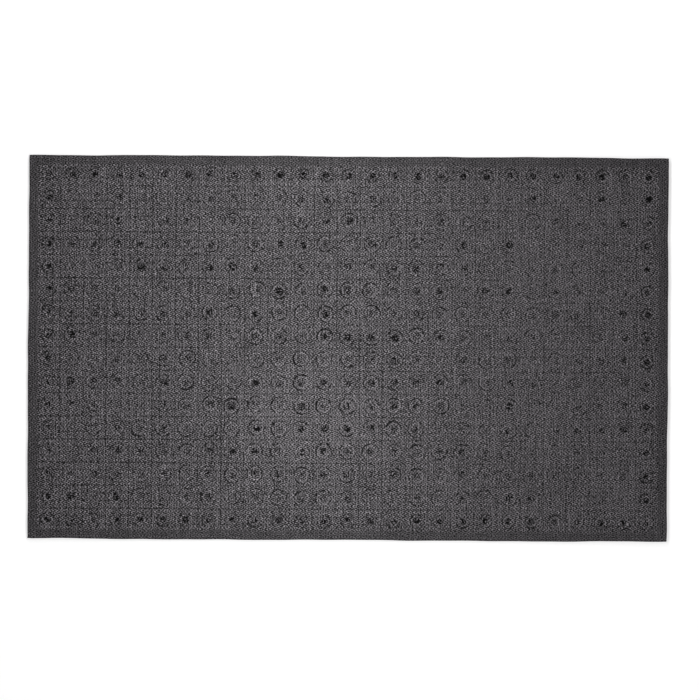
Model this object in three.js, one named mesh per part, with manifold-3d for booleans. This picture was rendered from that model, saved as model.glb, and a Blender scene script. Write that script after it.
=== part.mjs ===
// Washable door mat, lying on its pile with the rubber backing upward.
// Millimetres, +Z up. The origin is at the middle of the pile's tips, so Z = 0 is the floor.
// From the floor up: pile, primary backing (the tufting cloth) with four rubber edge strips round it,
// and the moulded backing sheet that covers them all.

import * as THREE from 'three';
import { mergeGeometries, mergeVertices } from 'three/addons/utils/BufferGeometryUtils.js';
import Module from 'manifold-3d';

const wasm = await Module();
wasm.setup();

// Driving dimensions.
const MAT_WIDTH = 750;
const MAT_DEPTH = 450;
const BORDER_WIDTH = 11;

const PILE_HEIGHT = 6;
const CLOTH_THICKNESS = 0.5;
const BACKING_THICKNESS = 2;
const STRIP_THICKNESS = 1;

// Vent dimples: a square lattice centred on the mat, deeper along its outer rows.
const DIMPLE_PITCH = 27;
const DIMPLE_COLUMNS = 27;
const DIMPLE_ROWS = 16;
const DIMPLE_SIDES = 6;
const OUTER_DIMPLE = { radius: 4, depth: 1.25 };
const INNER_DIMPLE = { radius: 3, depth: 0.5 };

// Tufts stand in rows along the mat's width, on the tufting machine's gauge.
const TUFT_GAUGE = 4;
const TUFT_ROW_WIDTH = 3;
const TUFT_ROOT_HEIGHT = 1.5;
const TUFT_SHOULDER = 0.75;
const PILE_INSET = 0.5;

// Levels and sizes that follow from them.
const FIELD_WIDTH = MAT_WIDTH - 2 * BORDER_WIDTH;
const FIELD_DEPTH = MAT_DEPTH - 2 * BORDER_WIDTH;
const CLOTH_BOTTOM = PILE_HEIGHT;
const BACKING_BOTTOM = CLOTH_BOTTOM + CLOTH_THICKNESS;
const BACKING_TOP = BACKING_BOTTOM + BACKING_THICKNESS;
const STRIP_BOTTOM = BACKING_BOTTOM - STRIP_THICKNESS;

const rubber = { color: 0x4b494b, roughness: 0.55, metalness: 0 };
const cloth = { color: 0x8a8780, roughness: 0.95, metalness: 0 };
const yarn = { color: 0x37383c, roughness: 1, metalness: 0 };

const mat = new THREE.Group();

function addPart(name, geometry, finish) {
  const mesh = new THREE.Mesh(geometry, new THREE.MeshStandardMaterial(finish));
  mesh.name = name;
  mat.add(mesh);
  return mesh;
}

// A slab with its lowest face at the given level, centred on (x, y).
function slab(width, depth, thickness, bottom, x = 0, y = 0) {
  const geometry = new THREE.BoxGeometry(width, depth, thickness);
  geometry.translate(x, y, bottom + thickness / 2);
  return geometry;
}

// Closed triangle mesh to a solid for cutting, and back.
function toSolid(geometry) {
  const bare = geometry.clone();
  bare.deleteAttribute('normal');
  bare.deleteAttribute('uv');
  const welded = mergeVertices(bare);
  return new wasm.Manifold(new wasm.Mesh({
    numProp: 3,
    vertProperties: new Float32Array(welded.attributes.position.array),
    triVerts: new Uint32Array(welded.index.array),
  }));
}

function toGeometry(solid) {
  const mesh = solid.getMesh();
  const geometry = new THREE.BufferGeometry();
  geometry.setAttribute('position', new THREE.BufferAttribute(mesh.vertProperties, 3));
  geometry.setIndex(new THREE.BufferAttribute(mesh.triVerts, 1));
  geometry.computeVertexNormals();
  return geometry;
}

// A pointed cutter that leaves a dimple of this radius and depth in the backing's upper face.
// It stands proud of that face by its own depth, so the cut never grazes the surface.
function dimpleCutter(x, y, { radius, depth }) {
  const cutter = new THREE.ConeGeometry(2 * radius, 2 * depth, DIMPLE_SIDES);
  cutter.rotateX(-Math.PI / 2);
  cutter.translate(x, y, BACKING_TOP);
  return cutter;
}

function backingSheet() {
  const cutters = [];
  for (let column = 0; column < DIMPLE_COLUMNS; column += 1) {
    for (let row = 0; row < DIMPLE_ROWS; row += 1) {
      const x = (column - (DIMPLE_COLUMNS - 1) / 2) * DIMPLE_PITCH;
      const y = (row - (DIMPLE_ROWS - 1) / 2) * DIMPLE_PITCH;
      const onEdge = column === 0 || column === DIMPLE_COLUMNS - 1 || row === 0 || row === DIMPLE_ROWS - 1;
      cutters.push(dimpleCutter(x, y, onEdge ? OUTER_DIMPLE : INNER_DIMPLE));
    }
  }
  const sheet = toSolid(slab(MAT_WIDTH, MAT_DEPTH, BACKING_THICKNESS, BACKING_BOTTOM));
  return toGeometry(sheet.subtract(toSolid(mergeGeometries(cutters))));
}

// Front and back strips run the whole width. The left and right ones fit between them.
function edgeStrips() {
  const middleX = (MAT_WIDTH - BORDER_WIDTH) / 2;
  const middleY = (MAT_DEPTH - BORDER_WIDTH) / 2;
  for (const [name, side] of [['edge_strip_front', -1], ['edge_strip_back', 1]]) {
    addPart(name, slab(MAT_WIDTH, BORDER_WIDTH, STRIP_THICKNESS, STRIP_BOTTOM, 0, side * middleY), rubber);
  }
  for (const [name, side] of [['edge_strip_left', -1], ['edge_strip_right', 1]]) {
    addPart(name, slab(BORDER_WIDTH, FIELD_DEPTH, STRIP_THICKNESS, STRIP_BOTTOM, side * middleX, 0), rubber);
  }
}

// The pile as one comb-shaped section: tufts share their roots and taper to flat tips on the floor.
function pile() {
  const rows = Math.floor((FIELD_DEPTH - 2 * PILE_INSET - TUFT_ROW_WIDTH) / TUFT_GAUGE) + 1;
  const halfSpan = ((rows - 1) * TUFT_GAUGE + TUFT_ROW_WIDTH) / 2;
  const rootLevel = PILE_HEIGHT - TUFT_ROOT_HEIGHT;
  const section = new THREE.Shape();
  section.moveTo(halfSpan, PILE_HEIGHT);
  section.lineTo(-halfSpan, PILE_HEIGHT);
  for (let row = 0; row < rows; row += 1) {
    const left = -halfSpan + row * TUFT_GAUGE;
    const right = left + TUFT_ROW_WIDTH;
    section.lineTo(left, rootLevel);
    section.lineTo(left + TUFT_SHOULDER, 0);
    section.lineTo(right - TUFT_SHOULDER, 0);
    section.lineTo(right, rootLevel);
  }
  const length = FIELD_WIDTH - 2 * PILE_INSET;
  const geometry = new THREE.ExtrudeGeometry(section, { depth: length, bevelEnabled: false });
  geometry.translate(0, 0, -length / 2);
  geometry.rotateX(Math.PI / 2);
  geometry.rotateZ(Math.PI / 2);
  return geometry;
}

addPart('backing_sheet', backingSheet(), rubber);
edgeStrips();
addPart('primary_backing', slab(FIELD_WIDTH, FIELD_DEPTH, CLOTH_THICKNESS, CLOTH_BOTTOM), cloth);
addPart('pile', pile(), yarn);

export default mat;
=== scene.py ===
"""Door mat seen from straight above with its rubber backing up: its looks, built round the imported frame.

Metres, in the frame's own axes. The rubber sheet, its edge strips, the tufting cloth and the pile each
have a detailed mesh that replaces the plain CAD solid. Each kind of rubber, cloth and yarn has a node
material of its own. A floor with a low backdrop, two soft lights and the camera complete the scene.
"""

import math

import bpy
import numpy as np
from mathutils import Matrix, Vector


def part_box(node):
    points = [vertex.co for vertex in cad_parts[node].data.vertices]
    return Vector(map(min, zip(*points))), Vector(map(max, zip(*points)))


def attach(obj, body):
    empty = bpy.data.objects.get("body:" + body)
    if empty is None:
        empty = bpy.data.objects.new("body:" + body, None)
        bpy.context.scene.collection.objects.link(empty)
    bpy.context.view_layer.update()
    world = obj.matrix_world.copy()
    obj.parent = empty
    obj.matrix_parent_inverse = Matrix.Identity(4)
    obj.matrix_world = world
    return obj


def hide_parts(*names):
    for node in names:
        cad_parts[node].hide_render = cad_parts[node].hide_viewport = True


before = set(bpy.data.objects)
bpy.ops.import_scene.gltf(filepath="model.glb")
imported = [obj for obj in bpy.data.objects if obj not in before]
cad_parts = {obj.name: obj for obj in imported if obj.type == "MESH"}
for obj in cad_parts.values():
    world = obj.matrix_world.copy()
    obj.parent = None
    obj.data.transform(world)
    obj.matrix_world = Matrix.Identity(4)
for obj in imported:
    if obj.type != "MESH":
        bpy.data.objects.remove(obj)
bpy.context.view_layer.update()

MM = 0.001

# The layers, as the frame holds them.
SHEET_LOW, SHEET_HIGH = (np.array(corner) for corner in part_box("backing_sheet"))
CLOTH_LOW, CLOTH_HIGH = (np.array(corner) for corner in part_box("primary_backing"))
PILE_LOW, PILE_HIGH = (np.array(corner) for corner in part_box("pile"))
STRIP_LOW, STRIP_HIGH = (np.array(corner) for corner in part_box("edge_strip_front"))
MAT_WIDTH, MAT_DEPTH = SHEET_HIGH[0] - SHEET_LOW[0], SHEET_HIGH[1] - SHEET_LOW[1]
FIELD_WIDTH, FIELD_DEPTH = CLOTH_HIGH[0] - CLOTH_LOW[0], CLOTH_HIGH[1] - CLOTH_LOW[1]
BORDER_WIDTH = STRIP_HIGH[1] - STRIP_LOW[1]
TOP = SHEET_HIGH[2]

# The lattice of vent dimples: one to a square cell, with this many points along each side of a cell.
PITCH = 27 * MM
COLUMNS = 27
ROWS = 16
SEGMENTS_PER_SIDE = 5
SPOKES = 4 * SEGMENTS_PER_SIDE

# The camera looks straight down. Its roll and the point it looks at set how the mat lies in the view.
MAT_SHARE_OF_VIEW = 0.9143
LENS = 85
SENSOR = 36
CAMERA_ROLL = math.radians(0.33)
VIEW_CENTRE = (2.3 * MM, -2.0 * MM)


# ---------------------------------------------------------------- meshes

# The cut edge wanders about this far from straight. The longest wave at the left and right edges has the
# first length, at the front and back the second, and the shorter waves fit into it these many times. They are
# lower by the fade, and the sum of them all is divided by its peak.
EDGE_WANDER = 0.55 * MM
SIDE_WAVE, SIDE_SEED = 0.31, 3
LONG_WAVE, LONG_SEED = 0.37, 4
WAVE_NUMBERS = (1, 2.3, 4.1, 7.7)
WAVE_FADE = 0.3
WAVE_PEAK = 1.6


def mesh_object(name, vertices, faces, material, smooth=True):
    """A mesh object from arrays of points and faces."""
    mesh = bpy.data.meshes.new(name)
    mesh.from_pydata(np.asarray(vertices).tolist(), [], [list(face) for face in faces])
    mesh.validate()
    mesh.update()
    mesh.polygons.foreach_set("use_smooth", [smooth] * len(mesh.polygons))
    mesh.materials.append(material)
    piece = bpy.data.objects.new(name, mesh)
    bpy.context.scene.collection.objects.link(piece)
    return piece


def add_attribute(piece, name, values):
    """Stores one number per vertex, for the material to read."""
    attribute = piece.data.attributes.new(name, "FLOAT", "POINT")
    attribute.data.foreach_set("value", np.asarray(values, np.float32))


def bump_profile(distance, centre, half_width):
    """1 at the centre, smoothly 0 at half_width from it."""
    t = np.clip(1 - np.abs(distance - centre) / half_width, 0, 1)
    return t * t * (3 - 2 * t)


def slope_profile(distance, foot, width):
    """0 from the foot outward, rising evenly to 1 at this width inside it."""
    return np.clip((foot - distance) / width, 0, 1)


def wave(position, length, seed):
    """A gentle random-looking line: a few sines of unlike lengths, between about -1 and 1."""
    phases = np.random.default_rng(seed).uniform(0, 2 * math.pi, len(WAVE_NUMBERS))
    total = 0.0
    for number, phase in zip(WAVE_NUMBERS, phases):
        total = total + np.sin(2 * math.pi * position * number / length + phase) / (1 + WAVE_FADE * number)
    return total / WAVE_PEAK


def edge_shift(x, y, inset):
    """Where a point goes as the cut edge near it wanders from straight, fading out over the border."""
    fade = np.clip(1 - inset / BORDER_WIDTH, 0, 1)
    at_side = np.abs(x) / MAT_WIDTH > np.abs(y) / MAT_DEPTH
    dx = np.where(at_side, EDGE_WANDER * wave(y + np.sign(x), SIDE_WAVE, SIDE_SEED), 0.0)
    dy = np.where(at_side, 0.0, EDGE_WANDER * wave(x + np.sign(y), LONG_WAVE, LONG_SEED))
    return x + fade * dx, y + fade * dy


# ---------------------------------------------------------------- dimples

# Radii of the rings of points round a dimple. Inner dimples have a shallow disc, a crest and a groove,
# and outer ones a hole with a raised rim. REACH is what the material reads instead of a radius. It is the
# same for both kinds, so one set of marks fits either.
INNER_RINGS = np.array([1.5, 2.8, 4.2, 5.6, 6.5, 7.4, 8.4, 9.2, 10.1, 11.4]) * MM
OUTER_RINGS = np.array([1.3, 2.4, 3.3, 4.0, 4.8, 5.8, 6.8, 7.8, 8.9, 10.1]) * MM
REACH = INNER_RINGS / MM
WALL_REACH = 13.5
MARKS = ("reach", "core_level", "crest_level", "groove_level")
PLAIN_MARK = (WALL_REACH, 0.0, 0.0, 0.0)

# An outer dimple's hole and rim, and an inner one's pit, disc, crest and groove: radius, then width.
HOLE_EDGE, HOLE_SLOPE = 4.6 * MM, 1.5 * MM
RIM_RADIUS, RIM_HALF_WIDTH = 6.0 * MM, 2.2 * MM
PIT_EDGE, PIT_SLOPE = 4.4 * MM, 3.2 * MM
DISC_EDGE, DISC_SLOPE = 6.6 * MM, 1.2 * MM
CREST_RADIUS, CREST_HALF_WIDTH = 7.4 * MM, 1.7 * MM
GROOVE_RADIUS, GROOVE_HALF_WIDTH = 9.2 * MM, 1.2 * MM

# How high or deep they are. A hole and a pit deepen with the core level, from the first depth by the second.
HOLE_DEPTHS = (0.3 * MM, 0.9 * MM)
PIT_DEPTHS = (0.18 * MM, 0.55 * MM)
RIM_HEIGHT = 0.16 * MM
DISC_DEPTH = 0.08 * MM
CREST_HEIGHT = 0.15 * MM
GROOVE_DEPTH = 0.24 * MM
HOLE_ROUGHNESS = 0.10 * MM
PIT_ROUGHNESS = 0.06 * MM

# The height of a rim and the ends of the arcs follow the dimple's own shape by these shares.
RIM_UNEVENNESS = 0.4
ARC_UNEVENNESS = 0.3

# How far a dimple's middle strays from its place, and how far its rings stray from round.
OUTER_STRAY = 0.7 * MM
INNER_STRAY = 1.3 * MM
LOBES = (2, 3, 5)
RING_UNROUNDNESS = 0.02
CORE_UNROUNDNESS = 0.14
CORE_RADIUS = 5 * MM

# The sides that a dimple's groove may be deepest on, in degrees, how far it strays from them, in radians,
# and what is left of it on the opposite side. An outer dimple has only these shares of crest and groove.
SHADED_SIDES = (110, 135, 270)
SIDE_STRAY = 0.6
LEAST_ARC = 0.3
OUTER_CREST, OUTER_GROOVE = 0.4, 0.5

# Levels of the core, which set its depth and how dark it is painted as shade. Outer dimples have one of a
# few, times a spread, less at the left and the front. Inner ones lie in a range, the few deepest in a higher
# one.
OUTER_CORES = (0.75, 0.9, 1.0)
OUTER_SPREAD = (0.85, 1.0)
LEFT_AND_FRONT_CORES = 0.85
SHALLOW_CORES = (0.32, 0.62)
DEEP_CORES = (0.75, 0.9)
DEEP_SHARE = 0.05

# The inner dimples' rings are clearest at this place in the lattice and fade over this many cells. Each
# ring's strength varies by the spread, and the cores fade with them by the share.
CLEAREST_COLUMN, COLUMNS_TO_FADE = 11, 9
CLEAREST_ROW, ROWS_TO_FADE = 6, 10.328
LEAST_CLEARNESS = 0.25
STRENGTH_SPREAD = (0.55, 1.15)
CORE_FADE = 0.3


def clearness(column, row):
    """How strongly a cell's ring marks show: most in the middle and lower middle, least at the right."""
    u = (column - CLEAREST_COLUMN) / COLUMNS_TO_FADE
    v = (row - CLEAREST_ROW) / ROWS_TO_FADE
    return LEAST_CLEARNESS + (1 - LEAST_CLEARNESS) * math.exp(-(u * u + v * v))


def hole_with_rim(rings, core, shape, rough):
    """An outer dimple's height at each ring and spoke, and at its middle."""
    depth = HOLE_DEPTHS[0] + HOLE_DEPTHS[1] * core
    hole = slope_profile(rings, HOLE_EDGE, HOLE_SLOPE)[:, None]
    rim = bump_profile(rings, RIM_RADIUS, RIM_HALF_WIDTH)[:, None]
    height = -depth * hole + RIM_HEIGHT * rim * (1 + RIM_UNEVENNESS * shape) + HOLE_ROUGHNESS * hole * rough
    return height, -depth


def pit_with_rings(rings, rough, core, crest_level, groove_level):
    """An inner dimple's height at each ring and spoke, and at its middle."""
    depth = PIT_DEPTHS[0] + PIT_DEPTHS[1] * core
    pit = slope_profile(rings, PIT_EDGE, PIT_SLOPE)[:, None]
    disc = slope_profile(rings, DISC_EDGE, DISC_SLOPE)[:, None]
    crest = bump_profile(rings, CREST_RADIUS, CREST_HALF_WIDTH)[:, None]
    groove = bump_profile(rings, GROOVE_RADIUS, GROOVE_HALF_WIDTH)[:, None]
    height = -depth * pit - DISC_DEPTH * disc + PIT_ROUGHNESS * pit * rough
    height = height + CREST_HEIGHT * crest_level * crest - GROOVE_DEPTH * groove_level * groove
    return height, -depth


def arcs(angles, shape, rng):
    """What is left of the crest and of the groove at each spoke: they are strongest on opposite sides."""
    facing = math.radians(rng.choice(SHADED_SIDES)) + rng.normal(0, SIDE_STRAY)
    toward = 0.5 * np.cos(angles - facing)
    lit, shaded = (np.clip(0.5 + side + ARC_UNEVENNESS * shape, 0, 1) for side in (-toward, toward))
    return LEAST_ARC + (1 - LEAST_ARC) * lit, LEAST_ARC + (1 - LEAST_ARC) * shaded


def outer_levels(column, row, lit_arc, shaded_arc, rng):
    """An outer dimple's levels of core, crest and groove."""
    core = rng.choice(OUTER_CORES) * rng.uniform(*OUTER_SPREAD)
    if column == 0 or row == 0:
        core *= LEFT_AND_FRONT_CORES
    return core, OUTER_CREST * lit_arc, OUTER_GROOVE * shaded_arc


def inner_levels(column, row, lit_arc, shaded_arc, rng):
    """An inner dimple's levels of core, crest and groove."""
    clear = clearness(column, row)
    strength = clear * rng.uniform(*STRENGTH_SPREAD)
    deep_core = rng.uniform() <= DEEP_SHARE
    core = rng.uniform(*(DEEP_CORES if deep_core else SHALLOW_CORES))
    core *= 1 - CORE_FADE + CORE_FADE * clear
    return core, strength * lit_arc, strength * shaded_arc


def dimple_cell(column, row, rng):
    """One cell's rings round its dimple: radii, angles, centre, heights, hub height and mark levels."""
    outer = column in (0, COLUMNS - 1) or row in (0, ROWS - 1)
    rings = OUTER_RINGS if outer else INNER_RINGS
    angles = math.pi / 4 + np.arange(SPOKES) * 2 * math.pi / SPOKES
    shape = sum(rng.normal(0, 1 / k) * np.cos(k * angles + rng.uniform(0, 2 * math.pi)) for k in LOBES)
    unroundness = RING_UNROUNDNESS + CORE_UNROUNDNESS * np.exp(-((rings / CORE_RADIUS) ** 2))
    radius = rings[:, None] * (1 + shape[None, :] * unroundness[:, None])
    centre = rng.uniform(-1, 1, 2) * (OUTER_STRAY if outer else INNER_STRAY)
    rough = rng.normal(0, 1, (len(rings), SPOKES))
    lit_arc, shaded_arc = arcs(angles, shape, rng)
    if outer:
        levels = outer_levels(column, row, lit_arc, shaded_arc, rng)
        height, hub_height = hole_with_rim(rings, levels[0], shape, rough)
    else:
        levels = inner_levels(column, row, lit_arc, shaded_arc, rng)
        height, hub_height = pit_with_rings(rings, rough, *levels)
    return radius, angles, centre, height, hub_height, levels


# ---------------------------------------------------------------- backing sheet

# The border from the field outward, in millimetres: inset from the cut edge, and height below the field.
BORDER_PROFILE = [
    (10.3, -0.07), (7.6, -0.06), (5.6, -0.06), (4.9, -0.01), (4.2, -0.08), (3.0, -0.06), (2.4, -0.01),
    (1.8, -0.12), (0.8, -0.16), (0.25, -0.35), (0.0, -0.85), (0.0, -1.75), (0.2, -2.0),
]

# The corners are cut in by this much at the cut edge, and less further in, down to none at the reach. The
# sheet's unevenness lifts only what lies above the last level.
CORNER_CUT = 0.35 * MM
CORNER_REACH = 2 * MM
SWELL_HEIGHT = 0.10 * MM
SWELL_DOWN_TO = -0.5 * MM


def swell(x, y):
    """The sheet's own slight unevenness over a hand's breadth: crossed waves, in radians per metre."""
    broad = np.sin(x * 31 + 1.3 * np.sin(y * 17)) * np.sin(y * 27 + 0.8)
    return SWELL_HEIGHT * (broad + 0.5 * np.sin(x * 63 - y * 41))


def lattice_lines(count, field):
    """Cell walls along one axis: midway between dimples, and the field's edge outside the last ones."""
    inner = (np.arange(1, count) - count / 2) * PITCH
    return np.concatenate([[-field / 2], inner, [field / 2]])


def split_lines(lines):
    """The start of each segment that the stretches between these lines are split into."""
    share = np.arange(SEGMENTS_PER_SIDE) / SEGMENTS_PER_SIDE
    return np.concatenate([a + (b - a) * share for a, b in zip(lines, lines[1:])])


def outline(lines_x, lines_y):
    """A rectangle's points, anticlockwise from its right-hand back corner, with these lines' own points."""
    right, left = lines_x[-1], lines_x[0]
    back, front = lines_y[-1], lines_y[0]
    return (
        [(x, back) for x in split_lines(lines_x[::-1])]
        + [(left, y) for y in split_lines(lines_y[::-1])]
        + [(x, front) for x in split_lines(lines_x)]
        + [(right, y) for y in split_lines(lines_y)]
    )


class SheetMesh:
    """The sheet's points, what the material reads at each of them, and its faces."""

    def __init__(self):
        self.points = []
        self.marks = []
        self.faces = []
        self.shared = {}

    def add(self, x, y, z, mark=PLAIN_MARK):
        """Adds a point and gives its number."""
        self.points.append((x, y, z))
        self.marks.append(mark)
        return len(self.points) - 1

    def add_shared(self, x, y):
        """The number of the point here on a wall or the field's edge: one for all that meet there."""
        key = (round(x / MM, 2), round(y / MM, 2))
        if key not in self.shared:
            self.shared[key] = self.add(x, y, TOP + swell(x, y))
        return self.shared[key]

    def bridge(self, loops):
        """Faces between each closed loop of points and the next one outside it."""
        for inner, outer in zip(loops, loops[1:]):
            for k in range(len(inner)):
                after = (k + 1) % len(inner)
                self.faces.append((inner[k], outer[k], outer[after], inner[after]))


def add_cell(sheet_mesh, column, row, walls_x, walls_y, rng):
    """One cell, from its dimple's middle out to its walls."""
    radius, angles, centre, height, hub_height, levels = dimple_cell(column, row, rng)
    core, crest, groove = (level * np.ones(SPOKES) for level in levels)
    cx = (column - (COLUMNS - 1) / 2) * PITCH + centre[0]
    cy = (row - (ROWS - 1) / 2) * PITCH + centre[1]
    hub = sheet_mesh.add(cx, cy, TOP + hub_height, (0.0, core[0], 0.0, 0.0))
    loops = []
    for ring, reach in enumerate(REACH):
        xs = cx + radius[ring] * np.cos(angles)
        ys = cy + radius[ring] * np.sin(angles)
        zs = TOP + swell(xs, ys) + height[ring]
        loops.append([
            sheet_mesh.add(xs[k], ys[k], zs[k], (reach, core[k], crest[k], groove[k])) for k in range(SPOKES)
        ])
    loops.append([sheet_mesh.add_shared(*point) for point in outline(walls_x, walls_y)])
    sheet_mesh.faces += [(hub, loops[0][k], loops[0][(k + 1) % SPOKES]) for k in range(SPOKES)]
    sheet_mesh.bridge(loops)


def add_border(sheet_mesh, lines_x, lines_y):
    """The border, the cut edge and the underside, from the field's edge outward."""
    field_edge = outline(lines_x, lines_y)
    loops = [[sheet_mesh.add_shared(*point) for point in field_edge]]
    x, y = np.array(field_edge).T
    corners = (np.abs(x) > FIELD_WIDTH / 2 - MM) & (np.abs(y) > FIELD_DEPTH / 2 - MM)
    for inset, rise in BORDER_PROFILE:
        inset, rise = inset * MM, rise * MM
        cut = np.where(corners, CORNER_CUT * np.clip(1 - inset / CORNER_REACH, 0, 1), 0.0)
        xs = x * (MAT_WIDTH / 2 - inset - cut) / (FIELD_WIDTH / 2)
        ys = y * (MAT_DEPTH / 2 - inset - cut) / (FIELD_DEPTH / 2)
        xs, ys = edge_shift(xs, ys, inset)
        lift = swell(xs, ys) if rise > SWELL_DOWN_TO else np.zeros(len(xs))
        loops.append([sheet_mesh.add(*point) for point in zip(xs, ys, TOP + rise + lift)])
    sheet_mesh.bridge(loops)
    sheet_mesh.faces.append(tuple(reversed(loops[-1])))


def backing_sheet(material):
    """The dimpled rubber sheet as one closed mesh."""
    rng = np.random.default_rng(20)
    lines_x = lattice_lines(COLUMNS, FIELD_WIDTH)
    lines_y = lattice_lines(ROWS, FIELD_DEPTH)
    sheet_mesh = SheetMesh()
    for column in range(COLUMNS):
        for row in range(ROWS):
            add_cell(sheet_mesh, column, row, lines_x[column:column + 2], lines_y[row:row + 2], rng)
    add_border(sheet_mesh, lines_x, lines_y)
    piece = mesh_object("rubber_backing", sheet_mesh.points, sheet_mesh.faces, material)
    for name, values in zip(MARKS, np.array(sheet_mesh.marks).T):
        add_attribute(piece, name, values)
    return piece


# ---------------------------------------------------------------- edge strips

STRIP_BEVEL = 0.25 * MM
STRIP_STEP = 5 * MM


def strip_section(half_width, half_height):
    """A strip's section: points across and up, anticlockwise, with both lower edges softened."""
    softened = half_width - STRIP_BEVEL
    raised = STRIP_BEVEL - half_height
    return [
        (-half_width, raised), (-softened, -half_height), (0, -half_height), (softened, -half_height),
        (half_width, raised), (half_width, half_height), (0, half_height), (-half_width, half_height),
    ]


def strip_point(middle, along_x, station, offset, rise):
    """A point of a strip's section at this station along it, shifted as the cut edge near it wanders."""
    x, y = (station, offset) if along_x else (offset, station)
    x, y = middle[0] + x, middle[1] + y
    inset = min(MAT_WIDTH / 2 - abs(x), MAT_DEPTH / 2 - abs(y))
    x, y = edge_shift(x, y, inset)
    return float(x), float(y), middle[2] + rise


def strip_faces(stations, ring, along_x):
    """Faces round a strip and over its ends. Swapping the axes mirrors it, so along Y they are turned."""
    faces = []
    for start in range(0, (stations - 1) * ring, ring):
        for k in range(ring):
            a, b = start + k, start + (k + 1) % ring
            faces.append((a, b, b + ring, a + ring))
    ends = np.arange(stations * ring).reshape(stations, ring)
    faces += [tuple(ends[0, ::-1].tolist()), tuple(ends[-1].tolist())]
    return faces if along_x else [face[::-1] for face in faces]


def edge_strip(node, along_x, material):
    """A rubber strip with softened lower edges, following the sheet's cut edge on its outer side."""
    low, high = (np.array(corner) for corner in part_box(node))
    middle = (low + high) / 2
    half = (high - low) / 2
    length, across = (half[0], half[1]) if along_x else (half[1], half[0])
    section = strip_section(across, half[2])
    stations = np.linspace(-length, length, int(2 * length / STRIP_STEP) + 1)
    points = [strip_point(middle, along_x, station, *point) for station in stations for point in section]
    faces = strip_faces(len(stations), len(section), along_x)
    return mesh_object(node.replace("edge_strip", "rubber_strip"), points, faces, material, smooth=False)


# ---------------------------------------------------------------- textile

# The cloth's grid of points, its clearance to the layers round it, and the cockles on its lower side, which
# are crossed waves in radians per metre.
CLOTH_COLUMNS, CLOTH_ROWS = 145, 85
CLEARANCE = 0.02 * MM
COCKLE = 0.05 * MM
COCKLE_X, COCKLE_BEND, COCKLE_Y = 900, 350, 800

# The tufts: distance between rows and along a row, and half their width at root and tip.
GAUGE, STITCH = 4.2 * MM, 4.6 * MM
ROOT_HALF, TIP_HALF = 1.6 * MM, 2.7 * MM

# How the tufts vary: stray along and across the row, lean, missing length, and a tip's slant and spread.
# From root to tip each one twists by this many radians.
STRAY_ALONG, STRAY_ACROSS = 0.25 * MM, 0.15 * MM
LEAN, MOST_LEAN = 0.6 * MM, 1.2 * MM
SHORTFALL = 0.5 * MM
TIP_SLANT = 0.3 * MM
TIP_SPREAD = (0.8, 1.1)
TWIST = 0.7
TUFT_SIDES = 4
TUFT_FACES = [(0, 1, 2, 3), (7, 6, 5, 4), (1, 0, 4, 5), (2, 1, 5, 6), (3, 2, 6, 7), (0, 3, 7, 4)]


def tufting_cloth(material):
    """The thin cloth that the yarn is tufted through, slightly cockled on its lower side."""
    xs = np.linspace(CLOTH_LOW[0] + CLEARANCE, CLOTH_HIGH[0] - CLEARANCE, CLOTH_COLUMNS)
    ys = np.linspace(CLOTH_LOW[1] + CLEARANCE, CLOTH_HIGH[1] - CLEARANCE, CLOTH_ROWS)
    x, y = np.meshgrid(xs, ys)
    cockle = COCKLE * (1 + np.sin(x * COCKLE_X + 2 * np.sin(y * COCKLE_BEND)) * np.sin(y * COCKLE_Y))
    upper = np.column_stack([x.ravel(), y.ravel(), np.full(x.size, CLOTH_HIGH[2] - CLEARANCE)])
    lower = np.column_stack([x.ravel(), y.ravel(), (CLOTH_LOW[2] + CLEARANCE + cockle).ravel()])
    index = np.arange(x.size).reshape(CLOTH_ROWS, CLOTH_COLUMNS)
    a, b, c, d = index[:-1, :-1], index[:-1, 1:], index[1:, 1:], index[1:, :-1]
    quads = np.column_stack([corner.ravel() for corner in (a, b, c, d)])
    rim = np.concatenate([index[0, :-1], index[:-1, -1], index[-1, :0:-1], index[:0:-1, 0]])
    turned = np.roll(rim, -1)
    sides = np.column_stack([rim + x.size, turned + x.size, turned, rim])
    faces = np.concatenate([quads, quads[:, ::-1] + x.size, sides])
    return mesh_object("tufting_cloth", np.concatenate([upper, lower]), faces, material)


def tuft_line(low, high, spacing):
    """Places of tufts along one axis, as many as fit with their spread tips, centred."""
    count = int((high - low - 2 * TIP_HALF) / spacing) + 1
    return (np.arange(count) - (count - 1) / 2) * spacing


def tuft_points(x, y, rng):
    """Eight points for each tuft: four round its root, then four round its tip, within the pile's sides."""
    turn = rng.uniform(0, 2 * math.pi, x.size)
    lean = np.clip(rng.normal(0, LEAN, (2, x.size)), -MOST_LEAN, MOST_LEAN)
    tip_level = PILE_LOW[2] + rng.uniform(0, SHORTFALL, x.size)
    points = np.zeros((x.size, 2 * TUFT_SIDES, 3))
    roots, tips = points[:, :TUFT_SIDES], points[:, TUFT_SIDES:]
    for k in range(TUFT_SIDES):
        corner = turn + 2 * math.pi * k / TUFT_SIDES
        roots[:, k, 0] = x + ROOT_HALF * np.cos(corner)
        roots[:, k, 1] = y + ROOT_HALF * np.sin(corner)
        roots[:, k, 2] = PILE_HIGH[2] - CLEARANCE
        spread = TIP_HALF * rng.uniform(*TIP_SPREAD, x.size)
        tips[:, k, 0] = x + lean[0] + spread * np.cos(corner + TWIST)
        tips[:, k, 1] = y + lean[1] + spread * np.sin(corner + TWIST)
        tips[:, k, 2] = tip_level + rng.uniform(0, TIP_SLANT, x.size)
    for axis in (0, 1):
        tips[:, :, axis] = np.clip(tips[:, :, axis], PILE_LOW[axis], PILE_HIGH[axis])
    return points


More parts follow.
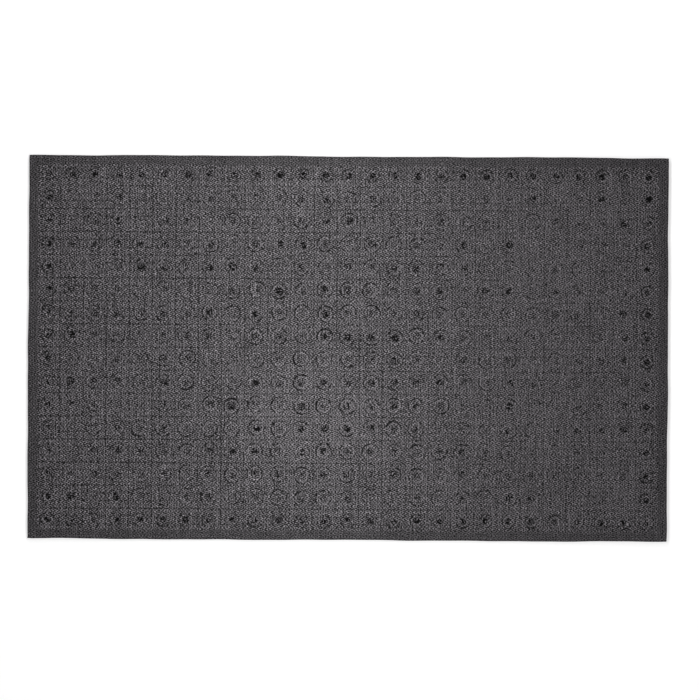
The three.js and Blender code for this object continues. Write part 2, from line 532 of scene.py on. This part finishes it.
def pile(material):
    """Cut tufts in rows: each a twisted four-sided stub of yarn, spreading towards its tip on the floor."""
    rng = np.random.default_rng(31)
    ys = tuft_line(PILE_LOW[1], PILE_HIGH[1], GAUGE)
    xs = tuft_line(PILE_LOW[0], PILE_HIGH[0], STITCH)
    x, y = (grid.ravel() for grid in np.meshgrid(xs, ys))
    x = x + rng.normal(0, STRAY_ALONG, x.size)
    y = y + rng.normal(0, STRAY_ACROSS, x.size)
    points = tuft_points(x, y, rng).reshape(-1, 3)
    first_point = 2 * TUFT_SIDES * np.arange(x.size)
    faces = (np.array(TUFT_FACES)[None] + first_point[:, None, None]).reshape(-1, TUFT_SIDES)
    return mesh_object("pile_tufts", points, faces, material)


# ---------------------------------------------------------------- material nodes

class Nodes:
    """A material's node tree, with short calls to add and join nodes."""

    def __init__(self, name):
        self.material = bpy.data.materials.new(name)
        self.material.use_nodes = True
        self.tree = self.material.node_tree
        self.shader = self.tree.nodes["Principled BSDF"]
        self.shader.inputs["Metallic"].default_value = 0.0
        self.place = self.add("ShaderNodeTexCoord").outputs["Object"]
        separate = self.add("ShaderNodeSeparateXYZ")
        self.feed(separate.inputs[0], self.place)
        self.along = separate.outputs

    def add(self, kind, **settings):
        node = self.tree.nodes.new(kind)
        for key, value in settings.items():
            setattr(node, key, value)
        return node

    def feed(self, socket, value):
        """Joins a socket to another one's output, or sets it to a number or colour."""
        if isinstance(value, bpy.types.NodeSocket):
            self.tree.links.new(value, socket)
        else:
            socket.default_value = value

    def math(self, operation, *values, clamp=False):
        node = self.add("ShaderNodeMath", operation=operation, use_clamp=clamp)
        for socket, value in zip(node.inputs, values):
            self.feed(socket, value)
        return node.outputs[0]

    def times(self, first, second):
        return self.math("MULTIPLY", first, second)

    def scaled_place(self, x, y, z):
        """The point in the frame's axes, stretched so that one unit is the given size along each axis."""
        node = self.add("ShaderNodeVectorMath", operation="MULTIPLY")
        self.feed(node.inputs[0], self.place)
        node.inputs[1].default_value = (1 / x, 1 / y, 1 / z)
        return node.outputs[0]

    def noise(self, size, detail=2.0, roughness=0.5, stretch=(1, 1, 1)):
        """Noise with features of about this size, between 0 and 1, longer along the stretched axes."""
        node = self.add("ShaderNodeTexNoise")
        self.feed(node.inputs["Vector"], self.scaled_place(*(size * s for s in stretch)))
        node.inputs["Scale"].default_value = 1.0
        node.inputs["Detail"].default_value = detail
        node.inputs["Roughness"].default_value = roughness
        return node.outputs["Fac"]

    def ramp(self, value, low, high, to_low=0.0, to_high=1.0):
        """Maps low..high smoothly to to_low..to_high, and holds it outside."""
        node = self.add("ShaderNodeMapRange", interpolation_type="SMOOTHSTEP")
        for socket, number in zip(node.inputs, (value, low, high, to_low, to_high)):
            self.feed(socket, number)
        return node.outputs[0]

    def centred(self, value, half_range):
        """Noise about 0.5 to -1..1, reaching the ends at half_range from its middle."""
        return self.ramp(value, 0.5 - half_range, 0.5 + half_range, -1.0, 1.0)

    def near(self, value, middle, inner, outer):
        """1 within inner of the middle, falling smoothly to 0 at outer."""
        offset = self.math("ABSOLUTE", self.math("SUBTRACT", value, middle))
        return self.ramp(offset, inner, outer, 1.0, 0.0)

    def weighted(self, values, weights):
        """The sum of the named values, each times its weight."""
        total = 0.0
        for name, weight in weights.items():
            total = self.math("MULTIPLY_ADD", values[name], weight, total)
        return total

    def attribute(self, name):
        return self.add("ShaderNodeAttribute", attribute_name=name).outputs["Fac"]

    def blend(self, share, first, second):
        """The first colour at share 0, the second at share 1."""
        node = self.add("ShaderNodeMix", data_type="RGBA", clamp_factor=True)
        self.feed(node.inputs["Factor"], share)
        self.feed(node.inputs["A"], first)
        self.feed(node.inputs["B"], second)
        return node.outputs["Result"]

    def brighten(self, colour, factor):
        """The colour times a grey factor."""
        node = self.add("ShaderNodeVectorMath", operation="SCALE")
        self.feed(node.inputs[0], colour)
        self.feed(node.inputs["Scale"], factor)
        return node.outputs[0]

    def bump(self, height, depth):
        """A normal from a height between 0 and 1 that stands for this depth."""
        node = self.add("ShaderNodeBump")
        node.inputs["Strength"].default_value = 1.0
        node.inputs["Distance"].default_value = depth
        self.feed(node.inputs["Height"], height)
        return node.outputs[0]


# ---------------------------------------------------------------- marks in the backing rubber

# The press cloth's imprint: pitch of warp and weft, and the length over which a thread runs true. The ribs
# along the warp are low beside the knuckles.
CLOTH_WEAVE = (2.16 * MM, 2.48 * MM, 6 * MM)
STRAND_WEAVE = (1.69 * MM, 2.02 * MM, 4.1 * MM)
ROW_WEAVE = (2.93 * MM, 1.22 * MM, 9 * MM)
RIB_HEIGHT = 0.3

# How far the threads leave their straight course, in radians of the weave: slowly, and thread by thread.
DRIFT, DRIFT_SIZE = 5.0, 45 * MM
QUIVER = 1.3

# The fine lines along the border, and the seams: how many to a cell, and how dark. A seam is full within the
# first share of a cell from its middle and gone at the second.
LINE_PITCH = 2.9 * MM
SEAMS = ((1, 0.45), (3, 0.6))
SEAM_CORE, SEAM_EDGE = 0.015, 0.04

# How the rubber crumples over a vent: radians of fold for the noise and for each unit of reach. The vent is
# painted black in the deep folds as shade, and a strong core pulls more of the folds down to that depth.
FOLD_NOISE, FOLD_NOISE_SIZE = 38.0, 7 * MM
FOLD_REACH = 0.8
CORE_PULL = -0.95
DEEP_FOLD, SHALLOW_FOLD = -0.5, 0.4
CREASE_SIZE = 6 * MM

# Where the marks lie in reach, which wobbles: the core's zone fades between two values, sooner where the core
# is weak, and the vent's painted shade fades in over two levels of that zone. The crest and the groove are
# full within the first distance of their middle and gone at the second.
REACH_WOBBLE = 0.6
CORE_ZONE = (3.6, 6.6)
CORE_SHRINK = 0.4
VENT_ZONE = (0.22, 0.58)
CREST_BAND = (7.2, 0.4, 1.5)
GROOVE_BAND = (9.3, 0.5, 1.4)

# How much the weaves and the threads add to the imprint, and how the fine noise swings the first two weaves
# and the height of the knuckles: the swing, then the middle. The border has less of the imprint. So has the
# right-hand end: WEAK is a strength there, CRISP elsewhere, and the change lies between these places along X.
CLOTH_SWING, STRAND_SWING, KNUCKLE_SWING = (-0.4, 0.8), (0.6, 1.3), (0.75, 1.0)
WEAVE_WEIGHTS = {"cloth": 1.0, "strands": 1.0, "rows": 1.5}
THREAD_WEIGHTS = {"weave": 1.0, "warp slubs": 0.25, "weft slubs": 0.2}
BORDER_RELIEF = 0.42
WEAK_RELIEF, CRISP_RELIEF = 0.85, 1.08
WEAK_SEAMS, CRISP_SEAMS = 0.5, 1.0
CRISP_UNTIL, WEAK_FROM = -0.05, 0.28

# The patch that has been rubbed shinier and is painted lighter as a highlight: the middle and the reach along
# each axis.
PATCH = (("X", -0.045, 0.10), ("Y", -0.085, 0.085))


def plain_weave(nodes, warp_pitch, weft_pitch, true_length):
    """Height of a plain weave's imprint: knuckles in a chequer on faint ribs."""
    drift = nodes.times(nodes.math("SUBTRACT", nodes.noise(DRIFT_SIZE, 1.0), 0.5), DRIFT)
    waves = []
    for axis, pitch, stretch in (("X", warp_pitch, (1, 3, 1)), ("Y", weft_pitch, (3, 1, 1))):
        quiver = nodes.centred(nodes.noise(true_length, 1.0, 0.5, stretch), 0.22)
        shift = nodes.math("MULTIPLY_ADD", quiver, QUIVER, drift)
        waves.append(nodes.math("MULTIPLY_ADD", nodes.along[axis], math.pi / pitch, shift))
    warp, weft = waves
    knuckles = nodes.times(nodes.math("SINE", warp), nodes.math("SINE", weft))
    ribs = nodes.math("COSINE", nodes.times(warp, 2.0))
    return nodes.math("MULTIPLY_ADD", ribs, RIB_HEIGHT, knuckles)


def field_mask(nodes, inset=0.0, soft=1.2 * MM):
    """1 on the dimpled field, less the inset all round, and 0 on the smooth border, over a soft edge."""
    sides = []
    for axis, half in (("X", FIELD_WIDTH / 2), ("Y", FIELD_DEPTH / 2)):
        inside = nodes.math("SUBTRACT", half - inset, nodes.math("ABSOLUTE", nodes.along[axis]))
        sides.append(nodes.ramp(inside, -soft, soft))
    return nodes.times(*sides)


def border_lines(nodes):
    """Fine lines parallel to the cut edge, -1 to 1, that fade away and come back along it."""
    insets = [
        nodes.math("SUBTRACT", half, nodes.math("ABSOLUTE", nodes.along[axis]))
        for axis, half in (("X", MAT_WIDTH / 2), ("Y", MAT_DEPTH / 2))
    ]
    lines = nodes.math("SINE", nodes.times(nodes.math("MINIMUM", *insets), 2 * math.pi / LINE_PITCH))
    return nodes.times(lines, nodes.ramp(nodes.noise(60 * MM, 2.0), 0.42, 0.58, 0.2, 1.0))


def seam_lines(nodes):
    """Thin straight thread marks of the press cloth, a third of a cell apart, darkest on the walls."""
    total = 0.0
    for axis, count, stretch in (("X", COLUMNS, (0.25, 4, 1)), ("Y", ROWS, (4, 0.25, 1))):
        to_dimple = 0.5 if count % 2 == 0 else 0.0
        cell = nodes.math("ADD", nodes.math("DIVIDE", nodes.along[axis], PITCH), to_dimple)
        broken = nodes.ramp(nodes.noise(50 * MM, 3.0, 0.6, stretch), 0.38, 0.62, 0.4, 0.9)
        for per_cell, depth in SEAMS:
            counted = nodes.math("MULTIPLY_ADD", cell, per_cell, 0.5 * (per_cell - 1))
            share = nodes.math("FRACT", counted)
            line = nodes.near(share, 0.5, SEAM_CORE * per_cell, SEAM_EDGE * per_cell)
            total = nodes.math("MULTIPLY_ADD", nodes.times(line, depth), broken, total)
    return nodes.times(total, field_mask(nodes, 3 * MM))


def dimple_marks(nodes):
    """What a dimple leaves in the rubber, by name: crumpled strokes, the vent's black painted shade, crest
    and groove.
    """
    core_level, crest_level, groove_level = (nodes.attribute(name) for name in MARKS[1:])
    creases = nodes.noise(CREASE_SIZE, 2.0)
    reach = nodes.math("MULTIPLY_ADD", nodes.centred(creases, 0.25), REACH_WOBBLE, nodes.attribute("reach"))
    core_size = nodes.math("MULTIPLY_ADD", core_level, CORE_SHRINK, 1 - CORE_SHRINK)
    zone = nodes.ramp(nodes.math("DIVIDE", reach, core_size), *CORE_ZONE, 1.0, 0.0)
    zone = nodes.times(zone, core_level)
    fold_noise = nodes.noise(FOLD_NOISE_SIZE, 1.0)
    fold_angle = nodes.math("MULTIPLY_ADD", fold_noise, FOLD_NOISE, nodes.times(reach, FOLD_REACH))
    folds = nodes.math("SINE", fold_angle)
    sunk = nodes.math("MULTIPLY_ADD", core_level, CORE_PULL, folds)
    broken = nodes.ramp(creases, 0.39, 0.56, 0.2, 1.0)
    in_groove = nodes.times(nodes.near(reach, *GROOVE_BAND), broken)
    fold_shade = nodes.ramp(sunk, DEEP_FOLD, SHALLOW_FOLD, 0.97, 0.0)
    return {
        "crumple": nodes.times(nodes.math("SUBTRACT", folds, 0.4), zone),
        "vent_shade": nodes.times(fold_shade, nodes.ramp(zone, *VENT_ZONE)),
        "crest": nodes.times(nodes.near(reach, *CREST_BAND), crest_level),
        "groove": nodes.times(in_groove, groove_level),
    }


def rubbed_and_highlight_patch(nodes):
    """1 in the part of the sheet rubbed shinier and painted lighter as a highlight, about a hand across,
    fading out unevenly.
    """
    distance = nodes.times(nodes.noise(70 * MM, 2.0), 0.8)
    for axis, middle, reach in PATCH:
        offset = nodes.math("DIVIDE", nodes.math("SUBTRACT", nodes.along[axis], middle), reach)
        distance = nodes.math("MULTIPLY_ADD", offset, offset, distance)
    return nodes.ramp(distance, 0.2, 1.9, 1.0, 0.0)


def woven_relief(nodes, field, crispness):
    """Height of the whole imprint, weaves and thread slubs, fainter on the border and at the right."""
    fineness = nodes.centred(nodes.noise(5 * MM, 1.0), 0.2)
    patchiness = nodes.centred(nodes.noise(2.8 * MM, 1.0), 0.22)
    cloth_share = nodes.math("MULTIPLY_ADD", fineness, *CLOTH_SWING)
    strand_share = nodes.math("MULTIPLY_ADD", fineness, *STRAND_SWING)
    weaves = {
        "cloth": nodes.times(plain_weave(nodes, *CLOTH_WEAVE), cloth_share),
        "strands": nodes.times(plain_weave(nodes, *STRAND_WEAVE), strand_share),
        "rows": plain_weave(nodes, *ROW_WEAVE),
    }
    weave = nodes.weighted(weaves, WEAVE_WEIGHTS)
    threads = {
        "weave": nodes.times(weave, nodes.math("MULTIPLY_ADD", patchiness, *KNUCKLE_SWING)),
        "warp slubs": nodes.centred(nodes.noise(1.9 * MM, 1.0, 0.6, (1, 16, 1)), 0.25),
        "weft slubs": nodes.centred(nodes.noise(2.1 * MM, 1.0, 0.6, (16, 1, 1)), 0.25),
    }
    relief = nodes.weighted(threads, THREAD_WEIGHTS)
    relief = nodes.times(relief, nodes.ramp(field, 0.0, 1.0, BORDER_RELIEF, 1.0))
    return nodes.times(relief, nodes.ramp(crispness, 0.0, 1.0, WEAK_RELIEF, CRISP_RELIEF))


# ---------------------------------------------------------------- materials

# The backing rubber's colours, and how much each mark changes its tone, its roughness and its height.
RUBBER_GREY = (0.0893, 0.0838, 0.0898)
# The vent black is painted shade standing for the depth of the dimple holes.
VENT_SHADE_BLACK = (0.001, 0.001, 0.001, 1)
SPECK_GREY = (0.35, 0.34, 0.33, 1)
BORDER_TONE, FIELD_TONE = 0.70, 0.86
DARKEST_TONE = 0.03
# In the tone the weave relief, the crumpled folds and the crests are painted lighter and the grooves darker:
# painted highlight and shade of their relief. The patch adds a painted highlight.
TONE_WEIGHTS = {
    "relief": 1.25, "border lines": 0.22, "mottle": 0.07, "blotches": 0.06, "crest": 1.0, "groove": -2.7,
    "seams": -1.2, "crumple": 2.6, "patch": 0.36, "inner field": 0.14,
}
SPECULAR_LEVEL = 0.17
ROUGHNESS = 0.47
ROUGHNESS_WEIGHTS = {
    "relief": -0.08, "mottle": -0.03, "groove": 0.3, "crest": -0.08, "vent_shade": 0.4, "crumple": -0.05,
    "field": -0.06, "patch": -0.03,
}
HEIGHT_WEIGHTS = {"relief": 0.03, "crumple": 0.12}


def rubber_marks(nodes):
    """Everything that marks the backing rubber, by the names that the weights have."""
    field = field_mask(nodes)
    crispness = nodes.ramp(nodes.along["X"], CRISP_UNTIL, WEAK_FROM, 1.0, 0.0)
    seam_strength = nodes.ramp(crispness, 0.0, 1.0, WEAK_SEAMS, CRISP_SEAMS)
    return {
        **dimple_marks(nodes),
        "field": field,
        "inner field": field_mask(nodes, 9 * MM, 9 * MM),
        "relief": woven_relief(nodes, field, crispness),
        "seams": nodes.times(seam_lines(nodes), seam_strength),
        "border lines": nodes.times(border_lines(nodes), nodes.math("SUBTRACT", 1.0, field)),
        "mottle": nodes.centred(nodes.noise(6 * MM, 2.0), 0.25),
        "blotches": nodes.centred(nodes.noise(60 * MM, 3.0, 0.55), 0.3),
        # The patch is rubbed shinier and painted lighter: a painted highlight.
        "patch": rubbed_and_highlight_patch(nodes),
    }


def backing_rubber():
    """Dark grey nitrile rubber: woven imprint, thread slubs, blotches, with painted light: black painted
    shade in the vents, folds and crests painted lighter and grooves darker as highlight and shade, a painted
    highlight patch.
    """
    nodes = Nodes("backing_rubber")
    marks = rubber_marks(nodes)
    ground = nodes.ramp(field_mask(nodes, 3 * MM, 4 * MM), 0.0, 1.0, BORDER_TONE, FIELD_TONE)
    tone = nodes.math("ADD", nodes.weighted(marks, TONE_WEIGHTS), ground)
    colour = nodes.brighten(RUBBER_GREY, nodes.math("MAXIMUM", tone, DARKEST_TONE))
    # The vents are painted near black in their deep folds: painted shade.
    colour = nodes.blend(marks["vent_shade"], colour, VENT_SHADE_BLACK)
    specks = nodes.ramp(nodes.noise(1.8 * MM, 0.0), 0.86, 0.90)
    nodes.feed(nodes.shader.inputs["Base Color"], nodes.blend(specks, colour, SPECK_GREY))

    roughness = nodes.math("ADD", nodes.weighted(marks, ROUGHNESS_WEIGHTS), ROUGHNESS, clamp=True)
    nodes.feed(nodes.shader.inputs["Roughness"], roughness)
    nodes.shader.inputs["Specular IOR Level"].default_value = SPECULAR_LEVEL
    nodes.feed(nodes.shader.inputs["Normal"], nodes.bump(nodes.weighted(marks, HEIGHT_WEIGHTS), MM))
    return nodes.material


def edge_rubber():
    """The strips' smooth moulded rubber with a fine grain."""
    nodes = Nodes("edge_rubber")
    grain = nodes.noise(1.2 * MM, 4.0, 0.6)
    tone = nodes.ramp(grain, 0.3, 0.7, 0.75, 1.2)
    nodes.feed(nodes.shader.inputs["Base Color"], nodes.brighten((0.042, 0.040, 0.0415), tone))
    nodes.feed(nodes.shader.inputs["Roughness"], nodes.ramp(nodes.noise(8 * MM), 0.3, 0.7, 0.42, 0.55))
    nodes.feed(nodes.shader.inputs["Normal"], nodes.bump(grain, 0.08 * MM))
    return nodes.material


def tufting_fabric():
    """Matt grey non-woven cloth: short fibres lying every way."""
    nodes = Nodes("tufting_fabric")
    lengthwise, crosswise = (nodes.noise(0.7 * MM, 2.0, 0.6, stretch) for stretch in ((1, 9, 1), (9, 1, 1)))
    fibres = nodes.math("MAXIMUM", lengthwise, crosswise)
    tone = nodes.ramp(fibres, 0.4, 0.75, 0.7, 1.25)
    nodes.feed(nodes.shader.inputs["Base Color"], nodes.brighten((0.22, 0.21, 0.195), tone))
    nodes.shader.inputs["Roughness"].default_value = 0.95
    nodes.shader.inputs["Sheen Weight"].default_value = 0.2
    nodes.feed(nodes.shader.inputs["Normal"], nodes.bump(fibres, 0.15 * MM))
    return nodes.material


def pile_yarn():
    """Charcoal twisted nylon: fibres along the tuft, flecks of lighter yarn."""
    nodes = Nodes("pile_yarn")
    fibres = nodes.noise(0.35 * MM, 2.0, 0.6, (1, 1, 8))
    fleck = nodes.ramp(nodes.noise(5 * MM, 2.0, 0.7), 0.45, 0.65)
    colour = nodes.blend(fleck, (0.028, 0.0285, 0.031, 1), (0.062, 0.063, 0.067, 1))
    tone = nodes.ramp(fibres, 0.3, 0.7, 0.6, 1.35)
    nodes.feed(nodes.shader.inputs["Base Color"], nodes.brighten(colour, tone))
    nodes.shader.inputs["Roughness"].default_value = 0.9
    nodes.shader.inputs["Sheen Weight"].default_value = 0.35
    nodes.shader.inputs["Sheen Roughness"].default_value = 0.5
    nodes.feed(nodes.shader.inputs["Normal"], nodes.bump(fibres, 0.3 * MM))
    return nodes.material


def floor_white():
    """The pale floor, a little luminous so that it stays even and white round the mat."""
    nodes = Nodes("floor_white")
    nodes.shader.inputs["Base Color"].default_value = (0.88, 0.88, 0.88, 1)
    nodes.shader.inputs["Roughness"].default_value = 0.9
    nodes.shader.inputs["Emission Color"].default_value = (1, 1, 1, 1)
    nodes.shader.inputs["Emission Strength"].default_value = 0.55
    return nodes.material


# ---------------------------------------------------------------- stage, light and camera

FLOOR_REACH = 8.0
BACKDROP_HEIGHT = 2.5
WORLD_STRENGTH = 0.15


def soft_light(name, place, width, length, power):
    """A rectangular area light that isn't itself seen, facing straight down until it is turned."""
    data = bpy.data.lights.new(name, "AREA")
    data.shape = "RECTANGLE"
    data.size = width
    data.size_y = length
    data.energy = power
    light = bpy.data.objects.new(name, data)
    bpy.context.scene.collection.objects.link(light)
    light.location = place
    light.visible_camera = False
    return light


def make_stage():
    """Floor with a low backdrop all round it, world and lights."""
    square = [(x * FLOOR_REACH, y * FLOOR_REACH) for x, y in ((-1, -1), (1, -1), (1, 1), (-1, 1))]
    corners = [(x, y, z) for z in (0.0, BACKDROP_HEIGHT) for x, y in square]
    walls = [(k, k + 4, (k + 1) % 4 + 4, (k + 1) % 4) for k in range(4)]
    floor = mesh_object("floor", corners, [(0, 1, 2, 3)] + walls, floor_white(), smooth=False)
    world = bpy.data.worlds.new("studio")
    world.use_nodes = True
    background = world.node_tree.nodes["Background"]
    background.inputs["Color"].default_value = (1, 1, 1, 1)
    background.inputs["Strength"].default_value = WORLD_STRENGTH
    bpy.context.scene.world = world
    soft_light("overhead", place=(-0.05, 0.25, 0.70), width=0.2, length=1.4, power=4.5)
    rake = soft_light("rake", place=(1.3, -1.1, 0.8), width=0.8, length=0.8, power=3)
    rake.rotation_euler = rake.location.to_track_quat("Z", "Y").to_euler()


def make_camera():
    """A long lens straight above the mat."""
    data = bpy.data.cameras.new("camera")
    data.lens = LENS
    data.sensor_width = SENSOR
    camera = bpy.data.objects.new("camera", data)
    bpy.context.scene.collection.objects.link(camera)
    distance = MAT_WIDTH / MAT_SHARE_OF_VIEW * LENS / SENSOR
    camera.location = (*VIEW_CENTRE, TOP + distance)
    camera.rotation_euler = (0, 0, CAMERA_ROLL)
    bpy.context.scene.camera = camera


# ---------------------------------------------------------------- the model

make_camera()
make_stage()
bpy.context.scene.view_settings.view_transform = "Standard"

sheet = backing_sheet(backing_rubber())
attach(sheet, "root")
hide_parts("backing_sheet")

strip_rubber = edge_rubber()
for side in ("front", "back", "left", "right"):
    strip = edge_strip(f"edge_strip_{side}", side in ("front", "back"), strip_rubber)
    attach(strip, "root")
    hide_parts(f"edge_strip_{side}")

tufts = pile(pile_yarn())
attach(tufts, "root")
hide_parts("pile")

cloth = tufting_cloth(tufting_fabric())
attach(cloth, "root")
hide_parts("primary_backing")
